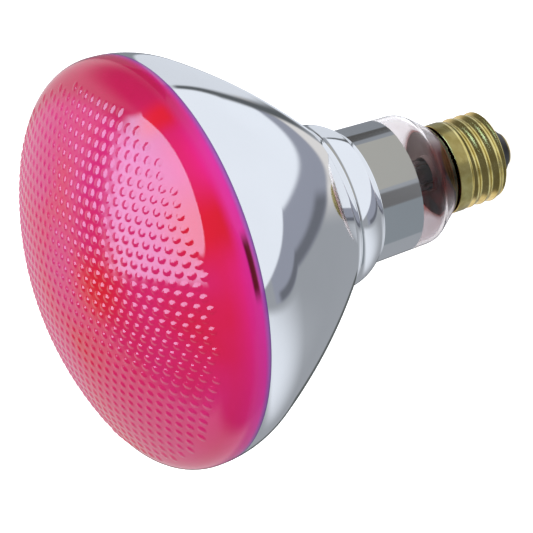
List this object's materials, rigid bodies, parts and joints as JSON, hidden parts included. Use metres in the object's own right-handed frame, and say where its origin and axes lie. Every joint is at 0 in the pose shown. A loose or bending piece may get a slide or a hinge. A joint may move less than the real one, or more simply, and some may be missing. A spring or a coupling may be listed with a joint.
{
  "type": "incandescent reflector flood bulb",
  "caption": "Reflector flood lamp with a wide domed lens, a mirrored bowl, a straight neck with a clear shoulder and a brass screw base.",
  "frame": {"origin": "tip of the centre contact, on the lamp's axis", "axes": "+Z along the lamp's axis, from the contact to the lens; X runs along the width of the stem's press"},
  "size_m": [0.1206, 0.1206, 0.1464],
  "materials": {
    "bulb_glass": "pink coating inside the lens, mirror inside the bowl and neck, clear at the shoulder",
    "clear_glass": "clear",
    "brass": "bright rolled sheet",
    "black_glass": "glossy",
    "solder": "dull",
    "cement": "matte",
    "shield": "dark red-brown, satin",
    "tungsten": "fine coil",
    "nickel": "drawn wire",
    "copper": "drawn wire"
  },
  "bodies": {
    "root": {"envelope": "bulb_glass", "base_shell": "brass", "base_insulator": "black_glass", "centre_contact": "brass", "contact_solder": "solder", "base_cement": "cement", "stem": "clear_glass", "heat_shield": "shield", "filament": "tungsten", "inner_lead_a": "nickel", "inner_lead_b": "nickel", "support_wire_1": "nickel", "support_wire_2": "nickel", "support_wire_3": "nickel", "centre_lead": "copper", "side_lead": "copper"}
  },
  "joints": []
}
